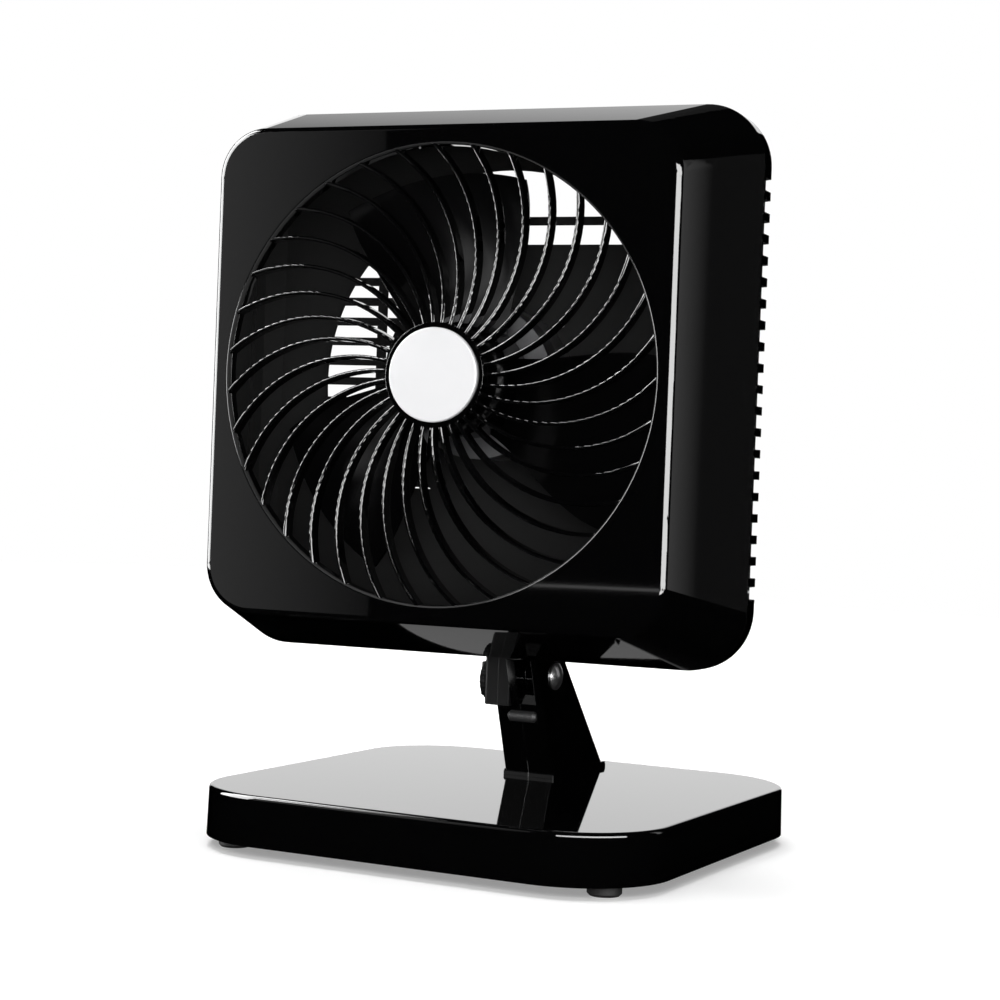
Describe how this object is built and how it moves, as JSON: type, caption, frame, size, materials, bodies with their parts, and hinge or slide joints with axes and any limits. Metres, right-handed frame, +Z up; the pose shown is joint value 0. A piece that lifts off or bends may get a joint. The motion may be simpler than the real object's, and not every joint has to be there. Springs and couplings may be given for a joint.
{
  "type": "oscillating table fan",
  "caption": "Square-headed oscillating table fan with a round curved-rib grille, tilting neck and weighted square base.",
  "frame": {"origin": "on the floor, under the middle of the bounding box at rest", "axes": "+Z up; +Y to the back, away from the side the fan blows to; +X to the right seen from the front"},
  "size_m": [0.2928, 0.2572, 0.3936],
  "materials": {
    "gloss_black": "gloss",
    "satin_black": "satin",
    "blade_black": "satin",
    "badge_silver": "satin",
    "chrome": "polished",
    "zinc_steel": "satin",
    "painted_steel": "satin",
    "black_rubber": "matte",
    "core_steel": "matte",
    "copper_wire": "satin",
    "cast_aluminium": "satin",
    "bronze": "satin",
    "white_nylon": "satin",
    "switch_brown": "satin"
  },
  "bodies": {
    "base": {"base_shell": "gloss_black", "base_plate": "painted_steel", "ballast_plate": "painted_steel", "rubber_feet": "black_rubber", "foot_screws": "zinc_steel", "column_left_half": "gloss_black", "column_right_half": "gloss_black", "column_screws": "zinc_steel", "tie_barrel": "satin_black", "tilt_bolt": "chrome", "tilt_nut": "zinc_steel", "switch_housing": "satin_black", "switch_cover": "satin_black", "rotary_switch": "switch_brown", "cord_grommet": "black_rubber"},
    "neck": {"neck_arm": "gloss_black", "tilt_washers": "zinc_steel", "swivel_post": "zinc_steel", "thrust_washer": "white_nylon", "circlip": "zinc_steel", "link_screw": "zinc_steel"},
    "head": {"front_shell": "gloss_black", "front_grille": "gloss_black", "badge": "badge_silver", "grille_screws": "zinc_steel", "rear_cover": "gloss_black", "shell_screws": "zinc_steel", "motor_front_bell": "cast_aluminium", "motor_rear_bell": "cast_aluminium", "stator": "core_steel", "motor_windings": "copper_wire", "motor_bushings": "bronze", "motor_screws": "zinc_steel", "gearbox_case": "white_nylon", "gearbox_lid": "white_nylon", "gearbox_screws": "zinc_steel", "swivel_bushing": "bronze", "motor_hood": "gloss_black", "hood_screws": "zinc_steel"},
    "fan": {"fan_blades": "blade_black", "rotor_core": "core_steel", "rotor_shaft": "zinc_steel", "hub_nut": "blade_black"},
    "worm_wheel": {"worm_gear": "white_nylon"},
    "crank": {"crank_gear": "white_nylon"},
    "link": {"link_rod": "zinc_steel"},
    "knob": {"speed_knob": "satin_black"},
    "pull": {"oscillation_knob": "satin_black"}
  },
  "joints": [
    {"name": "head_tilt", "type": "hinge", "parent": "base", "child": "neck", "pos_m": [0.01159, 0.033, 0.0886], "axis": [-1, 0, 0], "range_deg": [-10, 30]},
    {"name": "head_swivel", "type": "hinge", "parent": "neck", "child": "head", "pos_m": [0.01156, 0.03162, 0.2], "axis": [0, 0, 1], "range_deg": [-35.67, 24.33]},
    {"name": "fan_spin", "type": "hinge", "parent": "head", "child": "fan", "pos_m": [0.00367, -0.04986, 0.24697], "axis": [-0.0988, 0.9951, 0], "continuous": true},
    {"name": "worm_wheel_spin", "type": "hinge", "parent": "head", "child": "worm_wheel", "pos_m": [0.00563, 0.0438, 0.24697], "axis": [0, 0, 1], "continuous": true},
    {"name": "crank_spin", "type": "hinge", "parent": "head", "child": "crank", "pos_m": [-0.00933, 0.04553, 0.22697], "axis": [0, 0, 1], "continuous": true},
    {"name": "link_turn", "type": "hinge", "parent": "neck", "child": "link", "pos_m": [0.00606, 0.06452, 0.21], "axis": [0, 0, 1], "range_deg": [-4, 5]},
    {"name": "speed_knob_turn", "type": "hinge", "parent": "base", "child": "knob", "pos_m": [-0.01341, 0.027, 0.085], "axis": [-1, 0, 0], "range_deg": [0, 135]},
    {"name": "oscillation_pull", "type": "slide", "parent": "head", "child": "pull", "axis": [0, 0, 1], "range_m": [0, 0.006]}
  ],
  "couplings": [
    {"joint": "worm_wheel_spin", "follows": "fan_spin", "ratio": 0.033333},
    {"joint": "crank_spin", "follows": "fan_spin", "ratio": -0.0066667},
    {"joint": "link_turn", "follows": "head_swivel", "ratio": -0.1}
  ]
}
